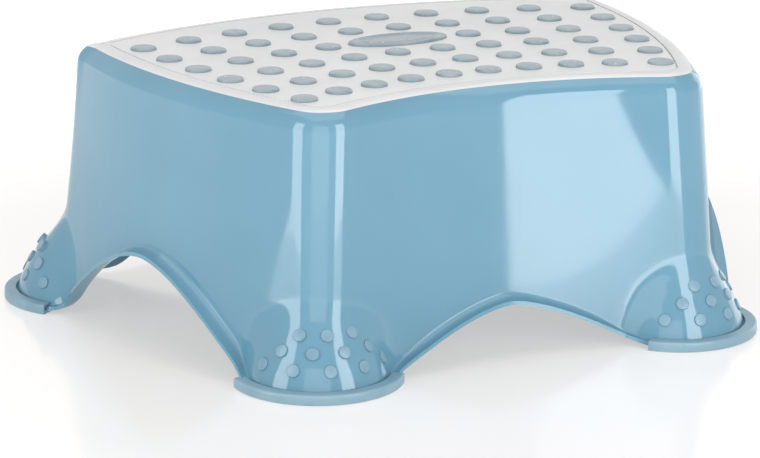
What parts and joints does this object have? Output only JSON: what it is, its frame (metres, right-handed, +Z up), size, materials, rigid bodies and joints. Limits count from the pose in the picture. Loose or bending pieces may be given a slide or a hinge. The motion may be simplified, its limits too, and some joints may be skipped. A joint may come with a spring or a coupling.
{
  "type": "household step stool",
  "caption": "Low one-step plastic stool: fan-shaped studded tread on a thin drafted shell with arches and four flared feet in soft rings.",
  "frame": {"origin": "on the floor under the middle of the outside box", "axes": "+Z up; +X along the long back edge, to the right when the concave front edge faces the viewer; +Y to the back; mirror-symmetric about the YZ plane except for the turn of the rings and discs on the front feet"},
  "size_m": [0.4, 0.28, 0.14],
  "materials": {
    "shell_plastic": "polished light blue injection-moulded polypropylene",
    "deck_plastic": "smooth white, slightly glossy",
    "mat_plastic": "fine satin white",
    "stud_rubber": "soft satin blue-grey thermoplastic rubber",
    "ring_rubber": "soft satin light blue thermoplastic rubber",
    "foot_stud_rubber": "soft satin pale blue thermoplastic rubber"
  },
  "bodies": {
    "root": {"shell": "shell_plastic", "deck_cover": "deck_plastic", "tread_mat": "mat_plastic", "deck_studs": "stud_rubber", "badge_pad": "stud_rubber", "foot_ring_front_left": "ring_rubber", "foot_ring_front_right": "ring_rubber", "foot_ring_back_left": "ring_rubber", "foot_ring_back_right": "ring_rubber", "foot_studs_front_left": "foot_stud_rubber", "foot_studs_front_right": "foot_stud_rubber", "foot_studs_back_left": "foot_stud_rubber", "foot_studs_back_right": "foot_stud_rubber"}
  },
  "joints": []
}
